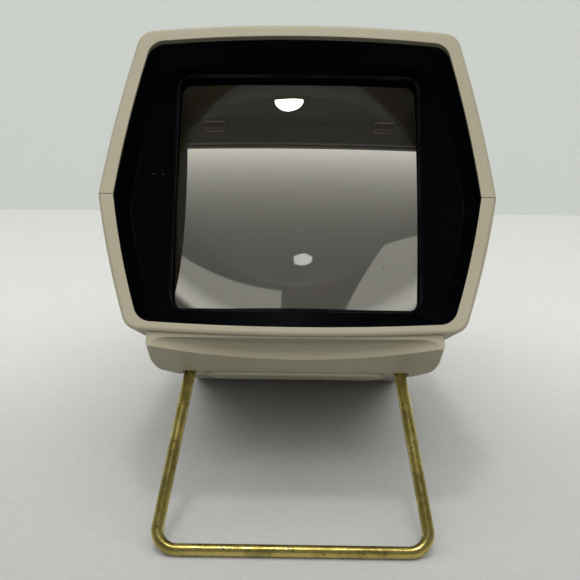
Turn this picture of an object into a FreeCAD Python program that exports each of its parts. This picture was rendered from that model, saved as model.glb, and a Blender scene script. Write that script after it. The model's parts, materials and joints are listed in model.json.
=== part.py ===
import FreeCAD, Part
import math
import os

os.makedirs("parts", exist_ok=True)

# Hand-held slide viewer that stands on a folding wire bail.
# The body is drawn upright in millimetres: X to the right, Y from the viewing mouth back
# into the body, Z up, with the mouth plane at Y = 0 and the seam of the shells at Z = 0.
# At the end everything is leaned back until it stands on the bail and its rear edge.

# Further than any part of the body reaches from its own origin.
REACH = 140.0

# ---- driving dimensions: shells ----
BODY_DEPTH = 105.0
WALL = 2.0
SEAM_GAP = 0.12
CORNER_RADIUS = 4.4
SEAM_RADIUS = 1.6
REAR_CORNER_RADIUS = 10.0
REAR_SEAM_RADIUS = 8.0
REAR_EDGE_RADIUS = 6.5
MOUTH_EDGE_RADIUS = 0.9
LIP_DEPTH = 3.5
LIP_FLARE = 0.7
SIDE_BOW = 0.7

# Six-sided outlines: half-width at the seam, upper corner x and z, crown height,
# lower corner x and z, and sole height.
FRONT = (50.0, 41.2, 44.7, 46.9, 41.4, -34.4, -35.6)
REAR = (43.0, 33.5, 33.5, 35.0, 35.0, -28.5, -29.3)
MOUTH = (46.1, 38.3, 41.5, 43.5, 38.5, -32.3, -33.5)
DEEP = (43.2, 35.6, 37.6, 40.6, 36.0, -29.3, -30.3)

# ---- driving dimensions: belly and underside ----
UNDER_Y = 15.5
UNDER_Z = -42.2
UNDER_RISE = math.radians(6.35)
BELLY_FRONT_Y = 1.5
BELLY_SLOPE = 0.274
BELLY_HALF_FRONT = 36.4
BELLY_HALF_REAR = 35.9
BELLY_CORNER_FRONT = 3.2
BELLY_CORNER_REAR = 3.6
BELLY_TOP_Z = -20.0
BELLY_EDGE_RADIUS = 0.7
SCOOP_Y = 8.2
SCOOP_RADIUS = 95.0
SCOOP_TOP_Z = -36.0
SCOOP_CORNER = 1.6
BELLY_REAR_RADIUS = 2.5
PAD_HALF = 23.4
PAD_START = 1.2
PAD_END = 46.0
PAD_PROUD = 0.9

# ---- driving dimensions: wire bail ----
BAIL_RADIUS = 1.5
BAIL_LEG = 47.6
BAIL_HALF_TOP = 26.85
BAIL_HALF_FOOT = 33.2
BAIL_PIN_END = 20.6
BAIL_TOP_BEND = 2.2
BAIL_FOOT_BEND = 4.8
BAIL_PIVOT_S = 3.4
BAIL_PIVOT_IN = 1.6
BAIL_OPEN = math.radians(110.6)
BAIL_CLEARANCE = 0.5
BAIL_BORE_CLEARANCE = 0.05

# ---- driving dimensions: optics ----
LENS_Z = 5.4
LENS_HALF = 31.8
LENS_CORNER = 3.0
LENS_CENTRE_Y = 17.2
LENS_SURFACE_RADIUS = 118.0
LENS_THICKNESS = 17.6
FLANGE_HALF = 33.4
FLANGE_CORNER = 4.0
FLANGE_Y0 = 16.9
FLANGE_Y1 = 18.8
HOOD_PLATE_Y = 12.0
HOOD_WALL = 1.9
DEEP_Y = 8.5
TUNNEL_HALF_FRONT = 31.8
TUNNEL_HALF_GATE = 28.2
TUNNEL_HALF_GATE_Z = 27.1
TUNNEL_WALL = 1.4
RETAINER_Y1 = 21.2

# ---- driving dimensions: slide slot ----
GATE_Y = 54.0
GATE_THICKNESS = 1.6
SLOT_WIDTH = 3.8
SLOT_HALF = 26.2
FILM_HALF = 23.0
FILM_HALF_WIDE = 25.1
FILM_CORNER = 0.8
FILM_SHIFT_X = 1.05
FILM_Z = 5.2
GATE_HALF = 33.0
GATE_TOP = 36.2
GATE_BOTTOM = -26.0
SLIDE_REST_Z = -17.2
PRESS_TRAVEL = 3.0
NOTCH_RADIUS = 10.5
NOTCH_HALF = 11.0
NOTCH_WALL = 1.6
NOTCH_LEAD = 1.5
NOTCH_Y = 60.5
NOTCH_Z = 42.0
WINDOW_X = 18.4
WINDOW_HALF = 2.35
WINDOW_RISE = 2.1
WINDOW_HEIGHT = 2.8

# ---- driving dimensions: lamp and cells ----
LAMP_Z = 5.2
BULB_RADIUS = 5.4
BULB_Y = 79.5
BASE_RADIUS = 4.7
CELL_RADIUS = 7.2
CELL_LENGTH = 49.2
CELL_CENTRES = ((75.2, -25.9), (90.2, -24.1))
CONTACT_X = 28.6
DOOR_HALF = 26.3
DOOR_START = 56.4
DOOR_HINGE_S = 84.6
DOOR_HINGE_IN = 2.2
DOOR_THICKNESS = 2.0
DOOR_GAP = 0.25
HINGE_PIN_RADIUS = 0.9
HINGE_KNUCKLE_HALF = 22.0

# ---- driving dimensions: screws ----
SCREW_PLACES = ((41.2, 26.0), (38.4, 91.5))
BOSS_RADIUS = 3.0
POCKET_RADIUS = 2.4
POCKET_TOP = -9.0
SCREW_RADIUS = 1.25
SCREW_HEAD_RADIUS = 2.2

# ---- driving dimensions: small features ----
PAD_GROOVES = 5
PAD_GROOVE_FIRST = 13.0
PAD_GROOVE_STEP = 5.0
PAD_GROOVE_HALF = 17.0
FLOOR_WALL = 1.5
BAIL_STOP = 2.24
LUG_LENGTH = 3.6
UPPER_BOSS_TOP = 12.0
BAY_WALL_TOP = -15.0
BOARD_HALF = 20.0
BOARD_Y = 98.5
BOARD_THICKNESS = 1.6
BOARD_TOP = 18.0
PLATE_HALF = 32.6
POCKET_HALF = 35.0
POCKET_CORNER = 5.0
POCKET_Y1 = 19.2
RETAINER_SCREW = 33.0
RETAINER_SCREW_Y0 = 15.0
RETAINER_SCREW_RADIUS = 0.79
RETAINER_HOLE_RADIUS = 0.8
RETAINER_HEAD_RADIUS = 1.5
DIFFUSER_HALF = 26.0
DIFFUSER_HEIGHT = 47.6
DIFFUSER_THICKNESS = 1.6
LEAF_THICKNESS = 0.25
CARRIER_HALF = 24.4
STEM_X = 14.0
STEM_RADIUS = 1.1
GUIDE_THICKNESS = 2.0
GUIDE_FLOOR_Z = -31.9
SWITCH_X = 4.0
SWITCH_HALF = 6.0
REFLECTOR_Y1 = 84.0
BASE_Y0 = 86.0
BASE_Y1 = 95.0
DOOR_RIBS = 4

SLOT_Y0 = GATE_Y + GATE_THICKNESS
SLOT_Y1 = SLOT_Y0 + SLOT_WIDTH
FRAME_Y1 = SLOT_Y1 + GATE_THICKNESS
FILM_TOP = FILM_Z + FILM_HALF


def V(x, y, z):
    return FreeCAD.Vector(x, y, z)


# ---- shape helpers ----

def box(x0, x1, y0, y1, z0, z1):
    return Part.makeBox(x1 - x0, y1 - y0, z1 - z0, V(x0, y0, z0))


def mirrored(shape):
    return shape.mirror(V(0, 0, 0), V(1, 0, 0))


def both_sides(shape):
    return shape.fuse(mirrored(shape))


def rod(start, end, radius):
    direction = end.sub(start)
    return Part.makeCylinder(radius, direction.Length, start, direction)


def tube(start, end, outer, inner):
    return rod(start, end, outer).cut(rod(start, end, inner))


def outward_normal(start, end):
    # Unit normal of a side of an outline, pointing away from the body's axis.
    normal = V(end[1] - start[1], 0, start[0] - end[0])
    normal.normalize()
    middle = V((start[0] + end[0]) / 2, 0, (start[1] + end[1]) / 2)
    if normal.dot(middle) < 0:
        normal = normal.multiply(-1)
    return normal


def bowed_edge(start, end, bow, y):
    # A side of an outline; bow is how far its middle stands outside the straight line.
    first = V(start[0], y, start[1])
    last = V(end[0], y, end[1])
    if bow == 0:
        return Part.makeLine(first, last)
    lift = outward_normal(start, end).multiply(bow)
    middle = first.add(last).multiply(0.5).add(lift)
    return Part.Arc(first, middle, last).toShape()


def moved_corners(corners, grow):
    # Corners of the outline whose straight sides all lie grow further out.
    count = len(corners)
    moved = []
    for i in range(count):
        before = outward_normal(corners[i - 1], corners[i])
        after = outward_normal(corners[i], corners[(i + 1) % count])
        reach = grow / (1 + before.dot(after))
        x, z = corners[i]
        moved.append((x + (before.x + after.x) * reach, z + (before.z + after.z) * reach))
    return moved


def outline(corners, bows, radii, y):
    # Closed outline at depth y, with each corner rounded by filleting a short prism.
    count = len(corners)
    edges = []
    for i in range(count):
        edges.append(bowed_edge(corners[i], corners[(i + 1) % count], bows[i], y))
    block = Part.Face(Part.Wire(edges)).extrude(V(0, 1, 0))
    for (x, z), radius in zip(corners, radii):
        if radius > 0:
            block = block.makeFillet(radius, [e for e in block.Edges if lies_at(e, x, z)])
    face = min(block.Faces, key=lambda f: f.CenterOfMass.y)
    return face.OuterWire


def lies_at(edge, x, z):
    ends = [v.Point for v in edge.Vertexes]
    return len(ends) == 2 and all(abs(p.x - x) < 1e-4 and abs(p.z - z) < 1e-4 for p in ends)


def six_sided(dims, y, grow=0.0, corner=CORNER_RADIUS, seam=SEAM_RADIUS):
    # Outline through the six corners of dims, with its sides moved outward by grow.
    half, top_x, top_z, crown, low_x, low_z, sole = dims
    corners = [(top_x, top_z), (-top_x, top_z), (-half, 0.0), (-low_x, low_z), (low_x, low_z), (half, 0.0)]
    bows = [crown - top_z, SIDE_BOW, SIDE_BOW, low_z - sole, SIDE_BOW, SIDE_BOW]
    radii = [corner, corner, seam, corner, corner, seam]
    return outline(moved_corners(corners, grow), bows, [max(r + grow, 0.4) for r in radii], y)


def between(y):
    # Outer section of the shells at depth y.
    share = y / BODY_DEPTH
    return tuple(a + (b - a) * share for a, b in zip(FRONT, REAR))


def shell_section(y, grow=0.0):
    # Outline of the shells at depth y, whose corners grow rounder towards the rear.
    share = y / BODY_DEPTH
    corner = CORNER_RADIUS + (REAR_CORNER_RADIUS - CORNER_RADIUS) * share
    seam = SEAM_RADIUS + (REAR_SEAM_RADIUS - SEAM_RADIUS) * share
    return six_sided(between(y), y, grow, corner, seam)


def square(half_x, half_z, centre_z, radius, y, centre_x=0.0):
    # Rounded rectangle at depth y.
    corners = [(half_x, half_z), (-half_x, half_z), (-half_x, -half_z), (half_x, -half_z)]
    wire = outline(corners, [0, 0, 0, 0], [radius] * 4, y)
    wire.translate(V(centre_x, 0, centre_z))
    return wire


def prism(wire, depth):
    return Part.Face(wire).extrude(V(0, depth, 0))


def loft(first, second):
    return Part.makeLoft([first, second], True, True)


def side_profile(points, half_width):
    # Solid with the given (y, z) profile, as wide as twice half_width.
    corners = [V(-half_width, y, z) for y, z in points]
    face = Part.Face(Part.makePolygon(corners + corners[:1]))
    return face.extrude(V(2 * half_width, 0, 0))


def bent_path(points, bends):
    # Path through the points with a tangent arc of the given radius at each inner point.
    edges = []
    at = points[0]
    for i in range(1, len(points) - 1):
        back = points[i - 1].sub(points[i])
        ahead = points[i + 1].sub(points[i])
        back.normalize()
        ahead.normalize()
        half_angle = back.getAngle(ahead) / 2
        reach = bends[i - 1] / math.tan(half_angle)
        start = points[i].add(V(*back).multiply(reach))
        end = points[i].add(V(*ahead).multiply(reach))
        inward = back.add(ahead)
        inward.normalize()
        to_middle = bends[i - 1] / math.sin(half_angle) - bends[i - 1]
        middle = points[i].add(inward.multiply(to_middle))
        edges.append(Part.makeLine(at, start))
        edges.append(Part.Arc(start, middle, end).toShape())
        at = end
    edges.append(Part.makeLine(at, points[-1]))
    return Part.Wire(edges)


def bent_wire(points, bends, radius):
    path = bent_path(points, bends)
    direction = points[1].sub(points[0])
    start = Part.Wire([Part.makeCircle(radius, points[0], direction)])
    return path.makePipeShell([start], True, False)


def coil(start, length, pitch, coil_radius, wire_radius, turn_axis, turn_degrees):
    # Coil spring of whole turns that starts at a point and runs along +Z turned about turn_axis.
    turns = round(length / pitch)
    rise = length / turns
    edges = []
    for i in range(turns):
        turn = Part.makeHelix(rise, rise, coil_radius)
        turn.translate(V(0, 0, i * rise))
        edges.extend(turn.Edges)
    circle = Part.Wire([Part.makeCircle(wire_radius, V(coil_radius, 0, 0), V(0, 1, 0))])
    spring = Part.Wire(edges).makePipeShell([circle], True, True)
    spring.rotate(V(0, 0, 0), turn_axis, turn_degrees)
    spring.translate(start)
    return spring


def on_underside(shape):
    # Moves a shape from the underside's own axes, where Y runs back along the
    # underside and Z points into the body, to the body's axes.
    shape.rotate(V(0, 0, 0), V(1, 0, 0), math.degrees(UNDER_RISE))
    shape.translate(V(0, UNDER_Y, UNDER_Z))
    return shape


def underside_point(s, inward):
    y = UNDER_Y + s * math.cos(UNDER_RISE) - inward * math.sin(UNDER_RISE)
    z = UNDER_Z + s * math.sin(UNDER_RISE) + inward * math.cos(UNDER_RISE)
    return y, z


# ---- shells ----

def outer_form():
    form = loft(shell_section(0), shell_section(BODY_DEPTH))
    rear_edges = [e for e in form.Edges if e.BoundBox.YMin > BODY_DEPTH - 0.01]
    form = form.makeFillet(REAR_EDGE_RADIUS, rear_edges)
    mouth_edges = [e for e in form.Edges if e.BoundBox.YMax < 0.01]
    return form.makeFillet(MOUTH_EDGE_RADIUS, mouth_edges)


def inner_form():
    start = shell_section(LIP_DEPTH, -WALL)
    end = shell_section(BODY_DEPTH - WALL, -WALL)
    form = loft(start, end)
    rear_edges = [e for e in form.Edges if e.BoundBox.YMin > BODY_DEPTH - WALL - 0.01]
    return form.makeFillet(REAR_EDGE_RADIUS - WALL, rear_edges)


def mouth_opening():
    front = six_sided(MOUTH, -0.01)
    back = six_sided(MOUTH, LIP_DEPTH + 0.01, LIP_FLARE)
    return loft(front, back)


def belly_section(y, half, corner, grow):
    # Section of the belly at depth y: flat sole, upright sides, rounded lower corners.
    low = UNDER_Z + (y - UNDER_Y) * math.tan(UNDER_RISE) - grow
    wide = half + grow
    high = (BELLY_TOP_Z - low) / 2
    corners = [(wide, high), (-wide, high), (-wide, -high), (wide, -high)]
    wire = outline(corners, [0, 0, 0, 0], [0, 0, corner + grow, corner + grow], y)
    wire.translate(V(0, 0, low + high))
    return wire


def belly(front_y=BELLY_FRONT_Y, grow=0.0):
    # Belly whose front slopes down and back from front_y to the front edge of the underside.
    front = belly_section(0, BELLY_HALF_FRONT, BELLY_CORNER_FRONT, grow)
    rear = belly_section(BODY_DEPTH + 5, BELLY_HALF_REAR, BELLY_CORNER_REAR, grow)
    low_z = UNDER_Z - grow * math.hypot(1, BELLY_SLOPE)
    profile = [
        (front_y, BELLY_TOP_Z),
        (front_y, low_z + (UNDER_Y - front_y) * BELLY_SLOPE),
        (UNDER_Y, low_z),
        (UNDER_Y, low_z - 5),
        (BODY_DEPTH + grow, low_z - 5),
        (BODY_DEPTH + grow, BELLY_TOP_Z),
    ]
    return loft(front, rear).common(side_profile(profile, BODY_DEPTH))


def front_scoop():
    # Hollow for the fingertips under the mouth's lower rim, curved in plan.
    height = BODY_DEPTH
    centre = V(0, SCOOP_Y - SCOOP_RADIUS, SCOOP_TOP_Z - height)
    disc = Part.makeCylinder(SCOOP_RADIUS, height, centre, V(0, 0, 1))
    top_edge = [e for e in disc.Edges if e.BoundBox.ZMin > SCOOP_TOP_Z - 0.01]
    return disc.makeFillet(SCOOP_CORNER, top_edge)


def belly_outside():
    form = belly()
    rear_y = BODY_DEPTH
    rear_z = UNDER_Z + (rear_y - UNDER_Y) * math.tan(UNDER_RISE)
    front_edge = [e for e in form.Edges if runs_across(e, UNDER_Y, UNDER_Z)]
    form = form.makeFillet(BELLY_EDGE_RADIUS, front_edge)
    rear_edge = [e for e in form.Edges if runs_across(e, rear_y, rear_z)]
    return form.makeFillet(BELLY_REAR_RADIUS, rear_edge).cut(front_scoop())


def runs_across(edge, y, z):
    bounds = edge.BoundBox
    middle = bounds.Center
    return bounds.XLength > 20 and abs(middle.y - y) < 0.2 and abs(middle.z - z) < 0.2


def underside_pad():
    # Raised pad in the middle of the underside, with plain ribs across it.
    length = PAD_END - PAD_START
    pad = Part.makeBox(2 * PAD_HALF, length, PAD_PROUD + 1, V(-PAD_HALF, PAD_START, -PAD_PROUD))
    corners = [e for e in pad.Edges if e.BoundBox.ZLength > PAD_PROUD]
    pad = pad.makeFillet(3.0, corners)
    for i in range(PAD_GROOVES):
        s = PAD_START + PAD_GROOVE_FIRST + i * PAD_GROOVE_STEP
        groove = rod(V(-PAD_GROOVE_HALF, s, -PAD_PROUD - 0.6), V(PAD_GROOVE_HALF, s, -PAD_PROUD - 0.6), 1.0)
        pad = pad.cut(groove)
    return on_underside(pad)


def bail_blocks():
    # Thick floor under the channels that take the folded bail.
    depth = BAIL_PIVOT_IN + BAIL_RADIUS + BAIL_CLEARANCE + FLOOR_WALL
    foot_s = BAIL_PIVOT_S + BAIL_LEG
    across = box(-BELLY_HALF_REAR + 1, BELLY_HALF_REAR - 1, foot_s - 4.2, foot_s + 3.6, 0.5, depth)
    side = box(BAIL_PIN_END - 2.0, BELLY_HALF_FRONT - 2.5, 0.8, foot_s, 0.5, depth)
    return on_underside(across.fuse(both_sides(side))).common(belly())


def bail_channels():
    # Space the bail swings and lies in: two splayed slots, a cross slot and the pin bores.
    half = BAIL_RADIUS + BAIL_CLEARANCE
    top = BAIL_PIVOT_IN + half
    foot_s = BAIL_PIVOT_S + BAIL_LEG
    front_s = BAIL_PIVOT_S - BAIL_STOP
    slope = (BAIL_HALF_FOOT - BAIL_HALF_TOP) / BAIL_LEG
    foot_x = BAIL_HALF_FOOT
    corners = [
        (BAIL_HALF_TOP - half - 0.3, front_s),
        (BAIL_HALF_TOP + half + 0.2, front_s),
        (foot_x + half + slope, foot_s + half),
        (foot_x - half - BAIL_FOOT_BEND, foot_s + half),
        (foot_x - half - BAIL_FOOT_BEND, foot_s - half),
        (foot_x - half - slope * BAIL_FOOT_BEND, foot_s - half - BAIL_FOOT_BEND),
    ]
    points = [V(x, y, -3) for x, y in corners]
    slot = Part.Face(Part.makePolygon(points + points[:1])).extrude(V(0, 0, top + 3))
    cross = box(-foot_x, foot_x, foot_s - half, foot_s + half, -3, top)
    bore_start = V(BAIL_PIN_END - 0.4, BAIL_PIVOT_S, BAIL_PIVOT_IN)
    bore_end = V(BAIL_HALF_TOP, BAIL_PIVOT_S, BAIL_PIVOT_IN)
    bore = rod(bore_start, bore_end, BAIL_RADIUS + BAIL_BORE_CLEARANCE)
    return on_underside(both_sides(slot.fuse(bore)).fuse(cross))


def door_opening():
    knuckle = DOOR_HINGE_IN + DOOR_GAP
    end = DOOR_HINGE_S + knuckle
    start = DOOR_START - DOOR_GAP
    half = DOOR_HALF + DOOR_GAP
    hole = box(-half, half, start, DOOR_HINGE_S - 1.6, -3, 7)
    tail = box(-HINGE_KNUCKLE_HALF - DOOR_GAP, HINGE_KNUCKLE_HALF + DOOR_GAP, start, end, -3, 5)
    return on_underside(hole.fuse(tail))


def hinge_lugs():
    # Lugs at both ends of the hinge pin, standing on the floor of the belly.
    inner = HINGE_KNUCKLE_HALF + DOOR_GAP
    start = V(inner, DOOR_HINGE_S, DOOR_HINGE_IN)
    end = V(inner + LUG_LENGTH, DOOR_HINGE_S, DOOR_HINGE_IN)
    lug = rod(start, end, DOOR_HINGE_IN + 0.1)
    foot = box(inner, inner + LUG_LENGTH, DOOR_HINGE_S - 1.5, DOOR_HINGE_S + 2.4, 0, DOOR_HINGE_IN)
    return on_underside(both_sides(lug.fuse(foot)))


def hinge_bore():
    start, end = hinge_line(HINGE_KNUCKLE_HALF + DOOR_GAP + LUG_LENGTH - 0.6)
    return rod(start, end, HINGE_PIN_RADIUS)


def hinge_line(half_length):
    y, z = underside_point(DOOR_HINGE_S, DOOR_HINGE_IN)
    return V(-half_length, y, z), V(half_length, y, z)


def screw_bosses(low, high):
    bosses = []
    for x, y in SCREW_PLACES:
        boss = rod(V(x, y, low), V(x, y, high), BOSS_RADIUS)
        web = box(x, x + 12, y - 0.8, y + 0.8, low, high)
        bosses.append(both_sides(boss.fuse(web)))
    return bosses[0].fuse(bosses[1:])


def notch_form(grow):
    start = V(-NOTCH_HALF - grow, NOTCH_Y, NOTCH_Z)
    end = V(NOTCH_HALF + grow, NOTCH_Y, NOTCH_Z)
    form = rod(start, end, NOTCH_RADIUS + grow)
    return form.common(box(-REACH, REACH, SLOT_Y1 - NOTCH_LEAD, REACH, 0, REACH))


def slot_chute():
    # Walls that lead a slide from the slot in the top down to the gate.
    half = SLOT_HALF + WALL
    front = box(-half, half, GATE_Y, SLOT_Y0, GATE_TOP + 0.1, REACH)
    rear = box(-half, half, SLOT_Y1, FRAME_Y1, GATE_TOP + 0.1, REACH)
    return front.fuse(rear)


def upper_housing(outside, inside):
    upper_half = box(-REACH, REACH, -REACH, REACH, SEAM_GAP / 2, REACH)
    bosses = screw_bosses(SEAM_GAP / 2, UPPER_BOSS_TOP).common(outside)
    shell = outside.cut(inside).cut(mouth_opening())
    shell = shell.fuse([slot_chute().common(outside), notch_form(NOTCH_WALL).common(outside), bosses])
    shell = shell.common(upper_half)
    shell = shell.cut(box(-SLOT_HALF, SLOT_HALF, SLOT_Y0, SLOT_Y1, 0, REACH))
    shell = shell.cut(notch_form(0))
    for x, y in SCREW_PLACES:
        hole = rod(V(x, y, -1), V(x, y, UPPER_BOSS_TOP - 2), SCREW_RADIUS)
        shell = shell.cut(both_sides(hole))
    return shell


def bay_walls():
    # Upright walls at both ends of the cells, which carry the contacts.
    start = CELL_CENTRES[0][0] - CELL_RADIUS
    end = CELL_CENTRES[1][0] + CELL_RADIUS
    wall = box(CONTACT_X + 0.5, CONTACT_X + 2.1, start, end, -45, BAY_WALL_TOP)
    return both_sides(wall)


def board_posts():
    # Slotted posts that hold the lamp board upright at the rear.
    post = box(BOARD_HALF - 2, BOARD_HALF + 2.5, BOARD_Y - 1.5, BODY_DEPTH, BAY_WALL_TOP - 3, BOARD_TOP - 4)
    groove = box(BOARD_HALF - 3, BOARD_HALF + 0.1, BOARD_Y, BOARD_Y + BOARD_THICKNESS, -60, 60)
    shelf = box(BOARD_HALF - 2, 34, BOARD_Y - 1.5, BODY_DEPTH, BAY_WALL_TOP - 3, BAY_WALL_TOP)
    return both_sides(post.cut(groove).fuse(shelf))


def lower_housing(outside, inside):
    lower_half = box(-REACH, REACH, -REACH, REACH, -REACH, -SEAM_GAP / 2)
    solid_form = outside.common(lower_half).fuse(belly_outside())
    hollow = inside.fuse(belly(SCOOP_Y + WALL, -WALL))
    shell = solid_form.cut(hollow).cut(mouth_opening())
    lugs = hinge_lugs()
    bosses = screw_bosses(-40, -SEAM_GAP / 2)
    posts = board_posts()
    extra = bosses.fuse([bay_walls(), posts, bail_blocks(), lugs]).common(solid_form)
    shell = shell.fuse([extra, underside_pad()]).common(lower_half)
    shell = shell.cut(bail_channels()).cut(door_opening().cut(lugs))
    shell = shell.cut(hinge_bore())
    finger = on_underside(rod(V(0, DOOR_START - 0.8, -1.4), V(0, DOOR_START - 0.8, 1.2), 5.0))
    shell = shell.cut(finger)
    for x, y in SCREW_PLACES:
        shell = shell.cut(both_sides(rod(V(x, y, -60), V(x, y, POCKET_TOP), POCKET_RADIUS)))
        shell = shell.cut(both_sides(rod(V(x, y, -20), V(x, y, 1), SCREW_RADIUS + 0.1)))
    return shell


def housing_screws():
    screws = []
    for x, y in SCREW_PLACES:
        shank = rod(V(x, y, POCKET_TOP - 0.5), V(x, y, UPPER_BOSS_TOP - 3), SCREW_RADIUS - 0.02)
        head = rod(V(x, y, POCKET_TOP - 1.8), V(x, y, POCKET_TOP - 0.02), SCREW_HEAD_RADIUS)
        long_way = box(x - 1.5, x + 1.5, y - 0.25, y + 0.25, POCKET_TOP - 3, POCKET_TOP - 1.0)
        short_way = box(x - 0.25, x + 0.25, y - 1.5, y + 1.5, POCKET_TOP - 3, POCKET_TOP - 1.0)
        screw = shank.fuse(head).cut(long_way).cut(short_way)
        screws.append(screw)
        screws.append(mirrored(screw))
    return Part.makeCompound(screws)


# ---- optics ----

def lens_hood():
    # Dished liner: sloping walls down to a plate, with a square pocket for the lens behind.
    section = shell_section(LIP_DEPTH + 0.05, -WALL - 0.15)
    section_back = shell_section(POCKET_Y1, -WALL - 0.15)
    hood = loft(section, section_back)
    deep_line = six_sided(DEEP, DEEP_Y)
    walls = loft(six_sided(MOUTH, LIP_DEPTH, LIP_FLARE), deep_line)
    dish = loft(deep_line, square(PLATE_HALF, PLATE_HALF, LENS_Z, POCKET_CORNER, HOOD_PLATE_Y))
    inset = -WALL - HOOD_WALL
    rear_room = loft(shell_section(HOOD_PLATE_Y + HOOD_WALL, inset), shell_section(POCKET_Y1 + 0.1, inset))
    pocket_outline = square(POCKET_HALF, POCKET_HALF, LENS_Z, POCKET_CORNER, HOOD_PLATE_Y)
    pocket_block = prism(pocket_outline, POCKET_Y1 - HOOD_PLATE_Y)
    hood = hood.cut(rear_room).fuse(pocket_block).cut(walls.fuse(dish))
    window = prism(square(LENS_HALF + 0.2, LENS_HALF + 0.2, LENS_Z, LENS_CORNER, 5), 30)
    seat = prism(square(FLANGE_HALF + 0.1, FLANGE_HALF + 0.1, LENS_Z, FLANGE_CORNER, FLANGE_Y0), 10)
    hood = hood.cut(window).cut(seat)
    for x in (-RETAINER_SCREW, RETAINER_SCREW):
        for z in (-RETAINER_SCREW, RETAINER_SCREW):
            start = V(x, RETAINER_SCREW_Y0 - 1, LENS_Z + z)
            hood = hood.cut(rod(start, V(x, RETAINER_Y1, LENS_Z + z), RETAINER_HOLE_RADIUS))
    return hood


def lens():
    # Square two-sided magnifier with a flange round its edge.
    apex = LENS_SURFACE_RADIUS - LENS_THICKNESS / 2
    front = Part.makeSphere(LENS_SURFACE_RADIUS, V(0, LENS_CENTRE_Y + apex, LENS_Z))
    back = Part.makeSphere(LENS_SURFACE_RADIUS, V(0, LENS_CENTRE_Y - apex, LENS_Z))
    edge = prism(square(LENS_HALF, LENS_HALF, LENS_Z, LENS_CORNER, 0), 40)
    flange_outline = square(FLANGE_HALF, FLANGE_HALF, LENS_Z, FLANGE_CORNER, FLANGE_Y0)
    flange = prism(flange_outline, FLANGE_Y1 - FLANGE_Y0)
    ring = flange.cut(prism(square(LENS_HALF - 0.2, LENS_HALF - 0.2, LENS_Z, LENS_CORNER, 0), 40))
    return edge.common(front).common(back).fuse(ring).removeSplitter()


def lens_retainer():
    # Frame screwed to the back of the hood, pressing on the lens flange.
    thickness = RETAINER_Y1 - POCKET_Y1
    plate = prism(square(POCKET_HALF, POCKET_HALF, LENS_Z, POCKET_CORNER, POCKET_Y1), thickness)
    lip_outline = square(FLANGE_HALF, FLANGE_HALF, LENS_Z, FLANGE_CORNER, FLANGE_Y1)
    lip = prism(lip_outline, POCKET_Y1 - FLANGE_Y1 + 0.1)
    frame = plate.fuse(lip)
    frame = frame.cut(prism(square(LENS_HALF + 0.3, LENS_HALF + 0.3, LENS_Z, 3.5, 0), 40))
    for x in (-RETAINER_SCREW, RETAINER_SCREW):
        for z in (-RETAINER_SCREW, RETAINER_SCREW):
            start = V(x, FLANGE_Y0, LENS_Z + z)
            frame = frame.cut(rod(start, V(x, RETAINER_Y1 + 1, LENS_Z + z), RETAINER_HOLE_RADIUS + 0.2))
    return frame


def retainer_screws():
    screws = []
    for x in (-RETAINER_SCREW, RETAINER_SCREW):
        for z in (-RETAINER_SCREW, RETAINER_SCREW):
            start = V(x, RETAINER_SCREW_Y0, LENS_Z + z)
            under_head = V(x, RETAINER_Y1 + 0.02, LENS_Z + z)
            end = V(x, RETAINER_Y1 + 1.0, LENS_Z + z)
            shank = rod(start, under_head.add(V(0, 0.5, 0)), RETAINER_SCREW_RADIUS)
            head = rod(under_head, end, RETAINER_HEAD_RADIUS)
            screws.append(shank.fuse(head))
    return Part.makeCompound(screws)


def light_tunnel():
    # Dark funnel of four walls from the lens frame to the gate.
    y0 = RETAINER_Y1 + 1.2
    y1 = GATE_Y - 0.02
    out_front = TUNNEL_HALF_FRONT + TUNNEL_WALL
    out_rear = TUNNEL_HALF_GATE + TUNNEL_WALL
    out_rear_z = TUNNEL_HALF_GATE_Z + TUNNEL_WALL
    outer = loft(square(out_front, out_front, LENS_Z, 2.0, y0), square(out_rear, out_rear_z, FILM_Z, 2.0, y1))
    inner_front = square(TUNNEL_HALF_FRONT, TUNNEL_HALF_FRONT, LENS_Z, 1.0, y0)
    inner_rear = square(TUNNEL_HALF_GATE, TUNNEL_HALF_GATE_Z, FILM_Z, 1.0, y1)
    tunnel = outer.cut(loft(inner_front, inner_rear))
    for x in (-WINDOW_X, WINDOW_X):
        half = WINDOW_HALF
        notch = box(x - half, x + half, y1 - 4, y1 + 1, FILM_TOP + 2, FILM_TOP + 9)
        tunnel = tunnel.cut(notch)
    return tunnel


# ---- gate and slide slot ----

def gate_plate():
    plate = box(-GATE_HALF, GATE_HALF, GATE_Y, SLOT_Y0, GATE_BOTTOM, GATE_TOP)
    film = prism(square(FILM_HALF_WIDE, FILM_HALF, FILM_Z, FILM_CORNER, GATE_Y - 1, FILM_SHIFT_X), 5)
    plate = plate.cut(film)
    for x in (-WINDOW_X, WINDOW_X):
        z = FILM_TOP + WINDOW_RISE
        window = box(x - WINDOW_HALF, x + WINDOW_HALF, GATE_Y - 1, SLOT_Y0 + 1, z, z + WINDOW_HEIGHT)
        plate = plate.cut(window)
    return plate


def gate_frame():
    # Rear plate of the slot with a rail down each side.
    plate = box(-GATE_HALF, GATE_HALF, SLOT_Y1, FRAME_Y1, GATE_BOTTOM, GATE_TOP)
    half_z = FILM_HALF + 0.4
    film = prism(square(FILM_HALF_WIDE - 0.2, half_z, FILM_Z, FILM_CORNER, SLOT_Y1 - 1, FILM_SHIFT_X / 2), 5)
    rail = box(SLOT_HALF - 0.2, SLOT_HALF + 2, SLOT_Y0 + 0.02, SLOT_Y1 + 0.2, GATE_BOTTOM, GATE_TOP)
    return plate.fuse(both_sides(rail)).cut(film).cut(notch_form(NOTCH_WALL + 0.05))


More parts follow.
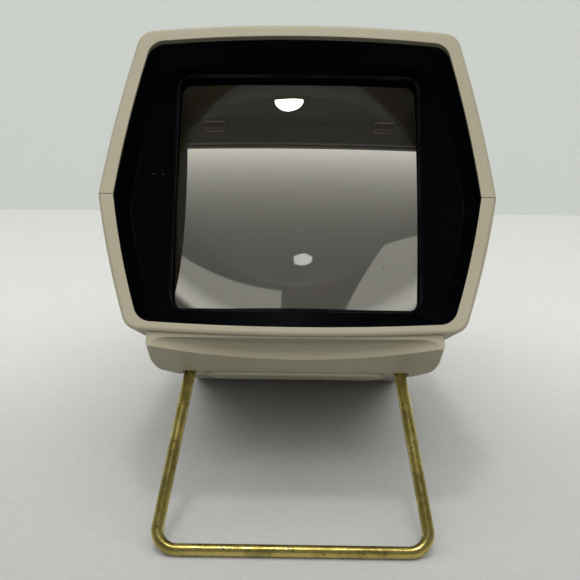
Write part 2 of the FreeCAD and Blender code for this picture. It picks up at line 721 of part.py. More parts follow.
def gate_spring(side):
    # Leaf spring fixed to the front of the gate plate, bowed through the window into the slot.
    x = side * WINDOW_X
    half = WINDOW_HALF - 0.35
    low_z = FILM_TOP + WINDOW_RISE
    front_y = GATE_Y - 0.35
    profile = [
        V(x, front_y, GATE_TOP),
        V(x, front_y, low_z + WINDOW_HEIGHT - 0.3),
        V(x, SLOT_Y0 + 0.1, low_z + 1.9),
        V(x, SLOT_Y0 + 0.1, low_z + 1.1),
        V(x, GATE_Y - 0.6, low_z + 0.5),
    ]
    path = bent_path(profile, [0.5, 0.4, 0.3])
    back_y = front_y + LEAF_THICKNESS
    section = Part.makePolygon([
        V(x - half, front_y, GATE_TOP),
        V(x + half, front_y, GATE_TOP),
        V(x + half, back_y, GATE_TOP),
        V(x - half, back_y, GATE_TOP),
        V(x - half, front_y, GATE_TOP),
    ])
    return path.makePipeShell([section], True, False)


def diffuser():
    sheet = square(DIFFUSER_HALF, DIFFUSER_HEIGHT / 2, FILM_Z, 1.0, FRAME_Y1 + 0.03)
    return prism(sheet, DIFFUSER_THICKNESS)


def slide_carrier():
    # Sprung cradle bar with an upturned edge at each end and two round stems.
    y0 = SLOT_Y0 + 0.25
    y1 = SLOT_Y1 - 0.25
    bar = box(-CARRIER_HALF, CARRIER_HALF, y0, y1, SLIDE_REST_Z - 3.2, SLIDE_REST_Z)
    channel_half = CARRIER_HALF + 1
    channel = box(-channel_half, channel_half, y0 + 0.5, y1 - 0.5, SLIDE_REST_Z - 1.0, SLIDE_REST_Z + 1)
    middle = (y0 + y1) / 2
    stem = rod(V(STEM_X, middle, SLIDE_REST_Z - 13), V(STEM_X, middle, SLIDE_REST_Z - 3), STEM_RADIUS)
    return bar.cut(channel).fuse(both_sides(stem))


def carrier_guide():
    # Ledge with the two guide holes, standing on the floor of the lower housing.
    top = SLIDE_REST_Z - 9.3
    ledge = box(-CARRIER_HALF, CARRIER_HALF, GATE_Y, FRAME_Y1, top - GUIDE_THICKNESS, top)
    leg = box(CARRIER_HALF - 3, CARRIER_HALF, GATE_Y, FRAME_Y1, GUIDE_FLOOR_Z, top)
    middle = (SLOT_Y0 + SLOT_Y1) / 2
    hole = rod(V(STEM_X, middle, top - 10), V(STEM_X, middle, top + 1), STEM_RADIUS + 0.1)
    return ledge.fuse(both_sides(leg)).cut(both_sides(hole))


def carrier_spring(side):
    low = SLIDE_REST_Z - 9.3
    length = 5.5
    middle = (SLOT_Y0 + SLOT_Y1) / 2
    wire = 0.2
    start = V(side * STEM_X, middle, low + wire + 0.03)
    return coil(start, length, 1.1, STEM_RADIUS + 0.32, wire, V(0, 0, 1), 0)


def switch_bridge():
    middle = (SLOT_Y0 + SLOT_Y1) / 2
    z = SLIDE_REST_Z - 3.2
    strip = box(-SWITCH_HALF, SWITCH_HALF, middle - 1.2, middle + 1.2, z - 0.42, z - 0.02)
    point = both_sides(rod(V(SWITCH_X, middle, z - 0.8), V(SWITCH_X, middle, z - 0.2), 0.9))
    return strip.fuse(point)


def switch_contact(side):
    # Fixed contact on the ledge, met by the bridge at the end of the press.
    middle = (SLOT_Y0 + SLOT_Y1) / 2
    x = side * SWITCH_X
    ledge = SLIDE_REST_Z - 9.3
    meet = SLIDE_REST_Z - 3.2 - 0.8 - PRESS_TRAVEL - 0.03
    post = rod(V(x, middle, ledge + 0.02), V(x, middle, meet), 0.9)
    base = box(x - 1.8, x + 1.8, middle - 1.5, middle + 1.5, ledge + 0.02, ledge + 0.4)
    tab = box(x - 0.8, x + 0.8, middle + 1.0, middle + 5.5, ledge + 0.02, ledge + 0.4)
    return post.fuse([base, tab])


# ---- lamp ----

def lamp_reflector():
    y0 = FRAME_Y1 + DIFFUSER_THICKNESS + 0.4
    y1 = REFLECTOR_Y1
    front = square(25.0, 21.5, FILM_Z, 3.0, y0)
    rear = square(8.0, 8.0, LAMP_Z, 3.0, y1)
    outer = loft(square(26.2, 22.0, FILM_Z, 4.0, y0), square(9.2, 9.2, LAMP_Z, 4.0, y1 + 1.2))
    hollow = loft(front, rear)
    hole = rod(V(0, y1 - 2, LAMP_Z), V(0, y1 + 4, LAMP_Z), BASE_RADIUS + 0.4)
    return outer.cut(hollow).cut(hole)


def bulb_glass():
    ball = Part.makeSphere(BULB_RADIUS, V(0, BULB_Y, LAMP_Z))
    neck = rod(V(0, BULB_Y, LAMP_Z), V(0, BASE_Y0 + 1.5, LAMP_Z), BASE_RADIUS - 0.8)
    hollow_ball = Part.makeSphere(BULB_RADIUS - 0.5, V(0, BULB_Y, LAMP_Z))
    hollow_neck = rod(V(0, BULB_Y, LAMP_Z), V(0, BASE_Y0 + 1.0, LAMP_Z), BASE_RADIUS - 1.3)
    return ball.fuse(neck).cut(hollow_ball.fuse(hollow_neck))


def bulb_base():
    # Screw shell of the bulb, with its thread as plain rings, and the rear tip.
    shell = rod(V(0, BASE_Y0, LAMP_Z), V(0, BASE_Y1, LAMP_Z), BASE_RADIUS - 0.3)
    rings = []
    for i in range(4):
        y = BASE_Y0 + 1.2 + i * 1.8
        rings.append(rod(V(0, y, LAMP_Z), V(0, y + 0.8, LAMP_Z), BASE_RADIUS))
    tip = rod(V(0, BASE_Y1 - 0.1, LAMP_Z), V(0, BASE_Y1 + 1.2, LAMP_Z), 1.6)
    room = rod(V(0, BASE_Y0 - 1, LAMP_Z), V(0, BASE_Y0 + 1.6, LAMP_Z), BASE_RADIUS - 0.75)
    return shell.fuse(rings + [tip]).cut(room)


def bulb_filament():
    # Two upright supports with a fine coil between them.
    posts = []
    for x in (-1.4, 1.4):
        posts.append(rod(V(x, BASE_Y0 + 0.95, LAMP_Z), V(x, BULB_Y - 0.8, LAMP_Z), 0.22))
    bead = rod(V(-1.9, BASE_Y0 - 1.6, LAMP_Z), V(1.9, BASE_Y0 - 1.6, LAMP_Z), 0.7)
    turns = coil(V(-1.4, BULB_Y - 0.8, LAMP_Z), 2.8, 0.4, 0.35, 0.08, V(0, 1, 0), 90)
    return posts[0].fuse([posts[1], bead, turns])


def lamp_socket():
    # Sleeve round the bulb base, with two tabs back to the board.
    start = V(0, BASE_Y0 + 1.5, LAMP_Z)
    end = V(0, BASE_Y1 - 0.6, LAMP_Z)
    sleeve = tube(start, end, BASE_RADIUS + 0.65, BASE_RADIUS + 0.05)
    tab = box(BASE_RADIUS + 0.1, BASE_RADIUS + 0.6, BASE_Y0 + 3, BOARD_Y - 0.02, LAMP_Z - 2, LAMP_Z + 2)
    foot = box(BASE_RADIUS + 0.1, BASE_RADIUS + 4, BOARD_Y - 0.52, BOARD_Y - 0.02, LAMP_Z - 2, LAMP_Z + 2)
    return sleeve.fuse(both_sides(tab.fuse(foot)))


def lamp_board():
    y0 = BOARD_Y + 0.03
    y1 = BOARD_Y + BOARD_THICKNESS - 0.03
    return box(-BOARD_HALF, BOARD_HALF, y0, y1, BAY_WALL_TOP + 0.05, BOARD_TOP)


def lamp_tip_contact():
    y = BASE_Y1 + 1.25
    leaf = box(-1.5, 1.5, y, y + 0.35, LAMP_Z - 12, LAMP_Z + 1.8)
    foot = box(-1.5, 1.5, y, BOARD_Y - 0.02, LAMP_Z - 12, LAMP_Z - 11)
    return leaf.fuse(foot)


# ---- cells and contacts ----

def cell(centre, side):
    # AA cell lying across the body; side is where its raised terminal points.
    y, z = centre
    can = rod(V(-side * CELL_LENGTH / 2, y, z), V(side * CELL_LENGTH / 2, y, z), CELL_RADIUS)
    round_edges = [e for e in can.Edges if len(e.Vertexes) == 1]
    can = can.makeFillet(0.6, round_edges)
    nub_end = side * (CELL_LENGTH / 2 + 1.2)
    return can.fuse(rod(V(side * CELL_LENGTH / 2, y, z), V(nub_end, y, z), 2.7))


def contact_plate(side, centre):
    y, z = centre
    x = side * CONTACT_X
    plate = box(0, 0.4, y - 5, y + 5, z - 5, z + 9)
    plate.translate(V(min(x, x + side * 0.4), 0, 0))
    return plate


def raised_boss(side, centre):
    # Pressed cone that reaches the raised terminal of a cell.
    y, z = centre
    reach = CONTACT_X - CELL_LENGTH / 2 - 1.2 - 0.05
    inner = V(side * (CONTACT_X - reach), y, z)
    cone = Part.makeCone(3.6, 2.4, reach, V(side * CONTACT_X, y, z), V(-side, 0, 0))
    return cone.cut(rod(inner.add(V(side * 0.5, 0, 0)), V(side * (CONTACT_X + 1), y, z), 1.8))


def cell_spring(side, centre):
    y, z = centre
    gap = CONTACT_X - CELL_LENGTH / 2
    wire = 0.4
    start = V(side * (CELL_LENGTH / 2 + wire + 0.04), y, z)
    return coil(start, gap - 2 * wire - 0.1, 1.0, 3.0, wire, V(0, 1, 0), side * 90)


def contact_plate_positive():
    return contact_plate(-1, CELL_CENTRES[0]).fuse(raised_boss(-1, CELL_CENTRES[0]))


def contact_plate_negative():
    return contact_plate(-1, CELL_CENTRES[1])


def series_link_plate():
    first = contact_plate(1, CELL_CENTRES[0])
    second = contact_plate(1, CELL_CENTRES[1])
    y0, z0 = CELL_CENTRES[0]
    y1 = CELL_CENTRES[1][0]
    bridge = box(CONTACT_X, CONTACT_X + 0.4, y0, y1, z0 + 4, z0 + 8)
    return first.fuse([second, bridge, raised_boss(1, CELL_CENTRES[1])])


def hookup_wire(points):
    return bent_wire(points, [1.5] * (len(points) - 2), 0.6)


def wire_cell_to_lamp():
    y, z = CELL_CENTRES[0]
    return hookup_wire([
        V(-CONTACT_X + 0.7, y, z + 8.6),
        V(-CONTACT_X + 0.7, y, z + 14),
        V(-14, BOARD_Y - 2.5, -9),
        V(-2.2, BOARD_Y - 1.5, LAMP_Z - 11.5),
    ])


def wire_lamp_to_switch():
    return hookup_wire([
        V(BASE_RADIUS + 3, BOARD_Y - 1.2, LAMP_Z - 1),
        V(BASE_RADIUS + 6, BOARD_Y - 2, -10),
        V(16, 82.6, -15.2),
        V(16, 66.0, -17),
        V(SWITCH_X, FRAME_Y1 + 2.0, SLIDE_REST_Z - 8.3),
    ])


def wire_switch_to_cell():
    y, z = CELL_CENTRES[1]
    return hookup_wire([
        V(-SWITCH_X, FRAME_Y1 + 2.0, SLIDE_REST_Z - 8.3),
        V(-16, 66.0, -17),
        V(-20, 82.6, -15.0),
        V(-CONTACT_X + 0.7, y, z + 9.2),
    ])


# ---- battery door ----

def battery_door():
    plate_end = DOOR_HINGE_S - 2.8
    plate = box(-DOOR_HALF, DOOR_HALF, DOOR_START, plate_end, 0, DOOR_THICKNESS)
    neck = box(-HINGE_KNUCKLE_HALF, HINGE_KNUCKLE_HALF, plate_end - 1, DOOR_HINGE_S, 0, DOOR_THICKNESS)
    start = V(-HINGE_KNUCKLE_HALF, DOOR_HINGE_S, DOOR_HINGE_IN)
    end = V(HINGE_KNUCKLE_HALF, DOOR_HINGE_S, DOOR_HINGE_IN)
    knuckle = rod(start, end, DOOR_HINGE_IN)
    beyond = V(DOOR_HALF, 0, 0)
    bore = rod(start.sub(beyond), end.add(beyond), HINGE_PIN_RADIUS + 0.05)
    door = plate.fuse([neck, knuckle]).cut(bore)
    for i in range(DOOR_RIBS):
        s = DOOR_START + 3.0 + i * 1.6
        door = door.cut(box(-9, 9, s, s + 0.7, -1, 0.4))
    return on_underside(door)


def door_hinge_pin():
    start, end = hinge_line(HINGE_KNUCKLE_HALF + DOOR_GAP + LUG_LENGTH - 0.65)
    return rod(start, end, HINGE_PIN_RADIUS - 0.005)


# ---- wire bail ----

def bail_direction():
    # Unit vector from the pivot to the foot, in (y, z), with the bail opened.
    angle = UNDER_RISE - BAIL_OPEN
    return math.cos(angle), math.sin(angle)


def bail_pivot():
    return underside_point(BAIL_PIVOT_S, BAIL_PIVOT_IN)


def bail_foot():
    y, z = bail_pivot()
    along = bail_direction()
    return y + BAIL_LEG * along[0], z + BAIL_LEG * along[1]


def wire_stand():
    y, z = bail_pivot()
    foot_y, foot_z = bail_foot()
    points = [
        V(-BAIL_PIN_END, y, z),
        V(-BAIL_HALF_TOP, y, z),
        V(-BAIL_HALF_FOOT, foot_y, foot_z),
        V(BAIL_HALF_FOOT, foot_y, foot_z),
        V(BAIL_HALF_TOP, y, z),
        V(BAIL_PIN_END, y, z),
    ]
    bends = [BAIL_TOP_BEND, BAIL_FOOT_BEND, BAIL_FOOT_BEND, BAIL_TOP_BEND]
    return bent_wire(points, bends, BAIL_RADIUS)


# ---- standing attitude ----

def lean_angle():
    # Slope, in the body's axes, of the table that touches the bail's foot and the rear edge.
    foot_y, foot_z = bail_foot()
    rear_y = BODY_DEPTH - BELLY_REAR_RADIUS
    sole_z = UNDER_Z + (rear_y - UNDER_Y) * math.tan(UNDER_RISE)
    rear_z = sole_z + BELLY_REAR_RADIUS / math.cos(UNDER_RISE)
    distance = math.hypot(rear_y - foot_y, rear_z - foot_z)
    towards = math.atan2(rear_z - foot_z, rear_y - foot_y)
    return towards - math.asin((BELLY_REAR_RADIUS - BAIL_RADIUS) / distance)


def main():
    outside = outer_form()
    inside = inner_form()
    pieces = {
        "upper_housing": upper_housing(outside, inside),
        "lower_housing": lower_housing(outside, inside),
        "lens_hood": lens_hood(),
        "lens": lens(),
        "lens_retainer": lens_retainer(),
        "retainer_screws": retainer_screws(),
        "light_tunnel": light_tunnel(),
        "gate_plate": gate_plate(),
        "gate_frame": gate_frame(),
        "gate_spring_left": gate_spring(-1),
        "gate_spring_right": gate_spring(1),
        "diffuser": diffuser(),
        "slide_carrier": slide_carrier(),
        "carrier_guide": carrier_guide(),
        "carrier_spring_left": carrier_spring(-1),
        "carrier_spring_right": carrier_spring(1),
        "switch_bridge": switch_bridge(),
        "switch_contact_left": switch_contact(-1),
        "switch_contact_right": switch_contact(1),
        "lamp_reflector": lamp_reflector(),
        "lamp_socket": lamp_socket(),
        "lamp_board": lamp_board(),
        "lamp_tip_contact": lamp_tip_contact(),
        "bulb_base": bulb_base(),
        "bulb_glass": bulb_glass(),
        "bulb_filament": bulb_filament(),
        "cell_front": cell(CELL_CENTRES[0], -1),
        "cell_rear": cell(CELL_CENTRES[1], 1),
        "contact_plate_positive": contact_plate_positive(),
        "contact_plate_negative": contact_plate_negative(),
        "series_link_plate": series_link_plate(),
        "cell_spring_link": cell_spring(1, CELL_CENTRES[0]),
        "cell_spring_negative": cell_spring(-1, CELL_CENTRES[1]),
        "wire_cell_to_lamp": wire_cell_to_lamp(),
        "wire_lamp_to_switch": wire_lamp_to_switch(),
        "wire_switch_to_cell": wire_switch_to_cell(),
        "battery_door": battery_door(),
        "door_hinge_pin": door_hinge_pin(),
        "wire_stand": wire_stand(),
        "housing_screws": housing_screws(),
    }
    lean = -math.degrees(lean_angle())
    everything = FreeCAD.BoundBox()
    for shape in pieces.values():
        shape.rotate(V(0, 0, 0), V(1, 0, 0), lean)
        everything.add(shape.optimalBoundingBox(False))
    shift = V(-everything.Center.x, -everything.Center.y, -everything.ZMin)
    for name, shape in pieces.items():
        shape.translate(shift)
        shape.exportStep("parts/" + name + ".step")
    return pieces, lean, shift


main()
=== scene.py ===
import json
import math

import bpy
from mathutils import Matrix, Vector


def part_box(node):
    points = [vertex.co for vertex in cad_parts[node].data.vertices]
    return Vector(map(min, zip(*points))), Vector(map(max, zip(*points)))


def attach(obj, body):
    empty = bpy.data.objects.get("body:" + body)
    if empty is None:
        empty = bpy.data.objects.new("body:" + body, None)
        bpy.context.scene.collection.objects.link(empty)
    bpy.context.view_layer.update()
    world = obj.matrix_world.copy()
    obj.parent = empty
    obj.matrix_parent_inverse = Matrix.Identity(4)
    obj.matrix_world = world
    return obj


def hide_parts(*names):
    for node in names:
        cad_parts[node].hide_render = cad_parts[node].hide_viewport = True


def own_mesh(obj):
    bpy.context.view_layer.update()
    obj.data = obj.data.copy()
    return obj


# Looks of a slide viewer that leans back on its wire bail: a finish for every part of the frame,
# a finely drawn lens and two carrier springs in place of the plain ones, and the table, wall and
# light around it.
# Lengths are metres. "Body axes" are the viewer's own, centred on the lens: X to the right, Y from
# the viewing mouth back into the body, Z up along the body, which leans back with it.

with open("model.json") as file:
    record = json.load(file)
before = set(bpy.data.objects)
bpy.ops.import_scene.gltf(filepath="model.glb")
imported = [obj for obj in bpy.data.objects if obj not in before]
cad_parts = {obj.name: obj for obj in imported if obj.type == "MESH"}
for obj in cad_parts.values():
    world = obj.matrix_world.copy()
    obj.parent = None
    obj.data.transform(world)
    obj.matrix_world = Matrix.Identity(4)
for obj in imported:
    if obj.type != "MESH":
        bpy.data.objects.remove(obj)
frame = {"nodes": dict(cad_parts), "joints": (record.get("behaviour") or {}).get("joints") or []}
bpy.context.view_layer.update()
NODES = frame["nodes"]

# ---- driving values ----
MM = 0.001
BLACK = (0.0, 0.0, 0.0, 1.0)
WHITE = (1.0, 1.0, 1.0)
WARM_WHITE = (1.0, 0.98, 0.95)

# Lens
LENS_RADIUS = 118.0 * MM
LENS_THICKNESS = 17.6 * MM
LENS_HALF = 31.8 * MM
LENS_CORNER = 3.0 * MM
FLANGE_HALF = 33.4 * MM
FLANGE_CORNER = 4.0 * MM
FLANGE_FRONT = -0.3 * MM
FLANGE_BACK = 1.6 * MM
LENS_RINGS = 44
CORNER_STEPS = 10
SIDE_STEPS = 26

# Painted glow on the opal sheet, standing in for daylight through the slide slot, by height in body
# axes
SHEET_TOP = 22.8 * MM
SHEET_FADE = 7.0 * MM
SHEET_PAINTED_GLOW = 0.52

# Painted crescents of light on the sheet: arcs about points of the body's middle plane
INNER_ARC_Z = 32.6 * MM
INNER_ARC_RADIUS = 37.8 * MM
OUTER_ARC_Z = 23.4 * MM
OUTER_ARC_RADIUS = 35.0 * MM
CRESCENT_LEFT_X = -2.9 * MM
CRESCENT_RIGHT_X = 14.5 * MM
CRESCENT_RIGHT_Z = -2.8 * MM
CRESCENT_DIM = 0.15
CRESCENT_BRIGHT = 0.36

# Springs under the slide carrier
SPRING_TURNS = 6
SPRING_STEPS = 28
SPRING_WIRE = 0.2 * MM
SPRING_CLOSED = 2.1
WIRE_SIDES = 12

# Camera
CAMERA_PLACE = (1.35 * MM, -279.9 * MM, 131.1 * MM)
CAMERA_ELEVATION = -17.18
CAMERA_YAW = 0.667
CAMERA_ROLL = 0.49
CAMERA_LENS_MM = 62.07
CAMERA_SENSOR_MM = 36.0
CAMERA_NEAREST = 0.01

# Table and wall
STAGE_HALF = 3.0
WALL_Y = 0.30
WALL_TOP = 3.0

# Lights, powers in watts
LAMP_DISTANCE = 2.0
LAMP_RADIUS = 0.135
LAMP_DIRECTION = (-0.049, -0.202, 0.978)
LAMP_POWER = 8.0
CEILING_PLACE = (0.0, -0.37, 1.1)
CEILING_TARGET = (0.0, -0.37, 0.0)
CEILING_SIZE = (3.0, 1.3)
CEILING_POWER = 17.0
FRONT_PLACE = (0.0, -1.0, 0.85)
FRONT_TARGET = (0.0, 0.0, 0.05)
FRONT_SIZE = 1.0
FRONT_POWER = 8.0
ROOM_COLOUR = (0.93, 0.95, 0.94, 1.0)
ROOM_LIGHT = 0.40
ROOM_SHINE = 0.22


def body_axes():
    """Matrix from the body's axes, centred on the lens, to the frame's."""
    press = next(j for j in frame["joints"] if j["name"] == "carrier_press")
    up = -Vector(press["axis"]).normalized()
    right = Vector((1.0, 0.0, 0.0))
    back = up.cross(right)
    low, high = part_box("lens")
    centre = (low + high) / 2
    turn = Matrix((right, back, up)).transposed()
    return Matrix.Translation(centre) @ turn.to_4x4()


BODY = body_axes()
LEAN = BODY.to_euler().x


# ---- finishes ----

def tone(red, green, blue):
    """Linear colour of a display colour given in steps of 0 to 255."""
    def linear(step):
        share = step / 255
        return share / 12.92 if share <= 0.04045 else ((share + 0.055) / 1.055) ** 2.4
    return (linear(red), linear(green), linear(blue), 1.0)


class Finish:
    """A material built up node by node round one Principled shader."""

    def __init__(self, name, roughness=0.5, metallic=0.0):
        self.material = bpy.data.materials.new(name)
        self.material.use_nodes = True
        self.tree = self.material.node_tree
        self.shader = self.tree.nodes["Principled BSDF"]
        self.shader.inputs["Roughness"].default_value = roughness
        self.shader.inputs["Metallic"].default_value = metallic
        self.height = None

    def node(self, kind, inputs=None, **settings):
        made = self.tree.nodes.new(kind)
        for key, value in settings.items():
            setattr(made, key, value)
        for key, value in (inputs or {}).items():
            self.feed(made.inputs[key], value)
        return made

    def feed(self, socket, value):
        if isinstance(value, bpy.types.NodeSocket):
            self.tree.links.new(value, socket)
        else:
            socket.default_value = value

    def set(self, key, value):
        self.feed(self.shader.inputs[key], value)

    def place(self, stretch=(1.0, 1.0, 1.0)):
        """Body axes of the point being shaded, stretched along each axis."""
        point = self.node("ShaderNodeTexCoord").outputs["Object"]
        moved = self.vector("SUBTRACT", point, BODY.translation)
        turned = self.node(
            "ShaderNodeVectorRotate",
            {"Vector": moved.outputs[0], "Axis": (1.0, 0.0, 0.0), "Angle": -LEAN},
        )
        return self.vector("MULTIPLY", turned.outputs[0], stretch).outputs[0]

    def noise(self, scale, detail=3.0, stretch=(1.0, 1.0, 1.0)):
        inputs = {"Vector": self.place(stretch), "Scale": scale, "Detail": detail}
        inputs["Roughness"] = 0.55
        return self.node("ShaderNodeTexNoise", inputs).outputs["Fac"]

    def specks(self, scale, low, high):
        """1 in small round specks, one to each cell of the given scale."""
        inputs = {"Vector": self.place(), "Scale": scale}
        distance = self.node("ShaderNodeTexVoronoi", inputs).outputs["Distance"]
        return self.steps(distance, low, high)

    def steps(self, value, low, high, start=0.0, end=1.0):
        """Smooth step of value from start to end as it goes from low to high."""
        inputs = {"Value": value, "From Min": low, "From Max": high, "To Min": start, "To Max": end}
        stepped = self.node("ShaderNodeMapRange", inputs, interpolation_type="SMOOTHSTEP")
        return stepped.outputs["Result"]

    def maths(self, operation, first, second=0.0):
        return self.node("ShaderNodeMath", {0: first, 1: second}, operation=operation).outputs[0]

    def times(self, first, *others):
        """Product of two or more values."""
        product = first
        for other in others:
            product = self.maths("MULTIPLY", product, other)
        return product

    def vector(self, operation, first, second=(0.0, 0.0, 0.0)):
        return self.node("ShaderNodeVectorMath", {0: first, 1: second}, operation=operation)

    def mix(self, share, first, second):
        """Colour that goes from first to second as share goes from 0 to 1."""
        mixed = self.node("ShaderNodeMix", data_type="RGBA")
        sockets = {s.name: s for s in mixed.inputs if s.enabled}
        for key, value in {"Factor": share, "A": first, "B": second}.items():
            self.feed(sockets[key], value)
        return next(s for s in mixed.outputs if s.enabled)

    def raise_by(self, height, depth, strength=1.0):
        """Adds a bump of the given depth on top of the earlier ones."""
        inputs = {"Height": height, "Distance": depth, "Strength": strength}
        if self.height is not None:
            inputs["Normal"] = self.height
        self.height = self.node("ShaderNodeBump", inputs).outputs["Normal"]
        self.set("Normal", self.height)

    def soften_edges(self, radius):
        """Rounds the shading of sharp edges before any bump is added."""
        self.height = self.node("ShaderNodeBevel", {"Radius": radius}, samples=4).outputs["Normal"]
        self.set("Normal", self.height)

    def on_edges(self, radius):
        """1 along sharp edges and folds, 0 on smooth faces."""
        rounded = self.node("ShaderNodeBevel", {"Radius": radius}, samples=8).outputs["Normal"]
        plain = self.node("ShaderNodeNewGeometry").outputs["Normal"]
        alike = self.vector("DOT_PRODUCT", rounded, plain).outputs["Value"]
        return self.steps(alike, 0.995, 0.93)

    def rough(self, scale, detail, low, high):
        """Roughness that wanders between two values."""
        self.set("Roughness", self.steps(self.noise(scale, detail), 0.3, 0.7, low, high))


def dimmed(colour, share):
    return tuple(c * share for c in colour[:3]) + (1.0,)


def moulded_plastic(name, colour, stained, roughness, grain=0.02 * MM):
    """Satin moulded plastic with a fine even grain, faint staining and polished patches."""
    finish = Finish(name)
    finish.soften_edges(0.35 * MM)
    patches = finish.steps(finish.noise(22.0, 4.0), 0.35, 0.75)
    shade = finish.mix(patches, colour, stained)
    sparse = finish.steps(finish.noise(60.0), 0.56, 0.62)
    dirt = finish.times(finish.specks(260.0, 0.035, 0.02), sparse, 0.5)
    finish.set("Base Color", finish.mix(dirt, shade, dimmed(colour, 0.35)))
    finish.rough(90.0, 5.0, roughness - 0.05, roughness + 0.07)
    finish.raise_by(finish.noise(2600.0, 2.0), grain, 0.5)
    finish.raise_by(finish.noise(120.0, 2.0), 0.08 * MM, 0.25)
    return finish.material


def beige_shell():
    return moulded_plastic("beige_shell", tone(146, 140, 121), tone(139, 132, 111), 0.42)


def black_liner():
    """Deep black plastic with painted highlights along its edges and folds, dust low on the walls
    and fine scratches.
    """
    finish = Finish("black_liner")
    finish.soften_edges(0.3 * MM)
    deep = (0.0003, 0.0004, 0.0006, 1.0)
    bluish = (0.0008, 0.0012, 0.0018, 1.0)
    tint = finish.mix(finish.noise(30.0), deep, bluish)
    height = finish.node("ShaderNodeSeparateXYZ", {0: finish.place()}).outputs["Z"]
    low = finish.steps(height, 22.0 * MM, -35.0 * MM, 0.15, 1.0)
    sparse = finish.steps(finish.noise(120.0), 0.56, 0.66)
    dust = finish.times(finish.specks(420.0, 0.10, 0.05), sparse, low, 0.5)
    scratch = finish.steps(finish.noise(140.0, 4.0, (1.0, 0.6, 14.0)), 0.70, 0.76)
    marks = finish.times(scratch, low, 0.03)
    dusty = finish.maths("MAXIMUM", dust, marks)
    shade = finish.mix(dusty, tint, (0.20, 0.19, 0.18, 1.0))
    # Painted highlight: edges and folds are lightened in patches, standing in for light caught on
    # them.
    highlight_patches = finish.steps(finish.noise(90.0), 0.35, 0.65, 0.06, 0.26)
    painted_edge_highlight = finish.times(finish.on_edges(0.35 * MM), highlight_patches)
    finish.set("Base Color", finish.mix(painted_edge_highlight, shade, (0.10, 0.105, 0.12, 1.0)))
    finish.rough(200.0, 4.0, 0.34, 0.46)
    finish.set("Specular IOR Level", 0.03)
    finish.raise_by(finish.noise(3000.0, 2.0), 0.01 * MM, 0.4)
    return finish.material


def dark_inner():
    """Unpolished dark brown plastic of the parts between the lens and the slide."""
    brown = (0.130, 0.110, 0.056, 1.0)
    stained = (0.104, 0.085, 0.044, 1.0)
    return moulded_plastic("dark_inner", brown, stained, 0.7)


def clear_lens():
    """Clear optical plastic; shadow rays pass it, so that the inside is lit through it."""
    finish = Finish("clear_lens")
    finish.set("Base Color", (0.995, 0.995, 0.985, 1.0))
    finish.set("IOR", 1.49)
    finish.set("Transmission Weight", 1.0)
    finish.set("Roughness", finish.steps(finish.noise(45.0, 4.0), 0.5, 0.8, 0.0, 0.03))
    shadow_ray = finish.node("ShaderNodeLightPath").outputs["Is Shadow Ray"]
    clear = finish.node("ShaderNodeBsdfTransparent", {"Color": (0.17, 0.17, 0.16, 1.0)}).outputs[0]
    edge = finish.node("ShaderNodeBsdfDiffuse", {"Color": (0.004, 0.004, 0.004, 1.0)}).outputs[0]
    inputs = {0: rim_share(finish), 1: finish.shader.outputs[0], 2: edge}
    solid = finish.node("ShaderNodeMixShader", inputs).outputs[0]
    both = finish.node("ShaderNodeMixShader", {0: shadow_ray, 1: solid, 2: clear}).outputs[0]
    finish.feed(finish.tree.nodes["Material Output"].inputs["Surface"], both)
    return finish.material


def rim_share(finish):
    """1 on the blackened upright rim and flange of the lens, 0 on its polished surfaces."""
    straight = LENS_HALF - LENS_CORNER
    size = finish.vector("ABSOLUTE", finish.place()).outputs[0]
    past = finish.vector("SUBTRACT", size, (straight, 1.0, straight)).outputs[0]
    corner = finish.vector("MAXIMUM", past).outputs[0]
    reach = finish.vector("LENGTH", corner).outputs["Value"]
    return finish.steps(reach, LENS_CORNER - 0.3 * MM, LENS_CORNER - 0.2 * MM)


def far_from(finish, across, height, middle):
    """Distance, seen along the body, from a point of the body's middle plane."""
    rise = finish.maths("SUBTRACT", height, middle)
    flat = finish.node("ShaderNodeCombineXYZ", {0: across, 1: rise}).outputs[0]
    return finish.vector("LENGTH", flat).outputs["Value"]


def painted_crescents(finish, across, height):
    """Painted glow of two bright crescents, standing in for the light that the lens throws on the
    foot of the sheet.
    """
    inner = far_from(finish, across, height, INNER_ARC_Z)
    outer = far_from(finish, across, height, OUTER_ARC_Z)
    past_inner = finish.steps(inner, INNER_ARC_RADIUS, INNER_ARC_RADIUS + 0.5 * MM)
    within_outer = finish.steps(outer, OUTER_ARC_RADIUS, OUTER_ARC_RADIUS - 0.6 * MM)
    on_left = finish.steps(across, CRESCENT_LEFT_X, CRESCENT_LEFT_X - 0.4 * MM)
    slanted = finish.maths("SUBTRACT", across, finish.times(height, 0.724))
    on_right = finish.steps(slanted, CRESCENT_RIGHT_X, CRESCENT_RIGHT_X + 0.6 * MM)
    sunken = finish.maths("SUBTRACT", height, finish.times(across, 0.4))
    below = finish.steps(sunken, CRESCENT_RIGHT_Z, CRESCENT_RIGHT_Z - 0.6 * MM)
    left = finish.times(past_inner, on_left)
    right = finish.times(below, on_right)
    either = finish.maths("MAXIMUM", left, right)
    near_rim = OUTER_ARC_RADIUS - 0.4 * MM
    brightness = finish.steps(outer, near_rim - 2.2 * MM, near_rim, CRESCENT_DIM, CRESCENT_BRIGHT)
    return finish.times(within_outer, either, brightness)


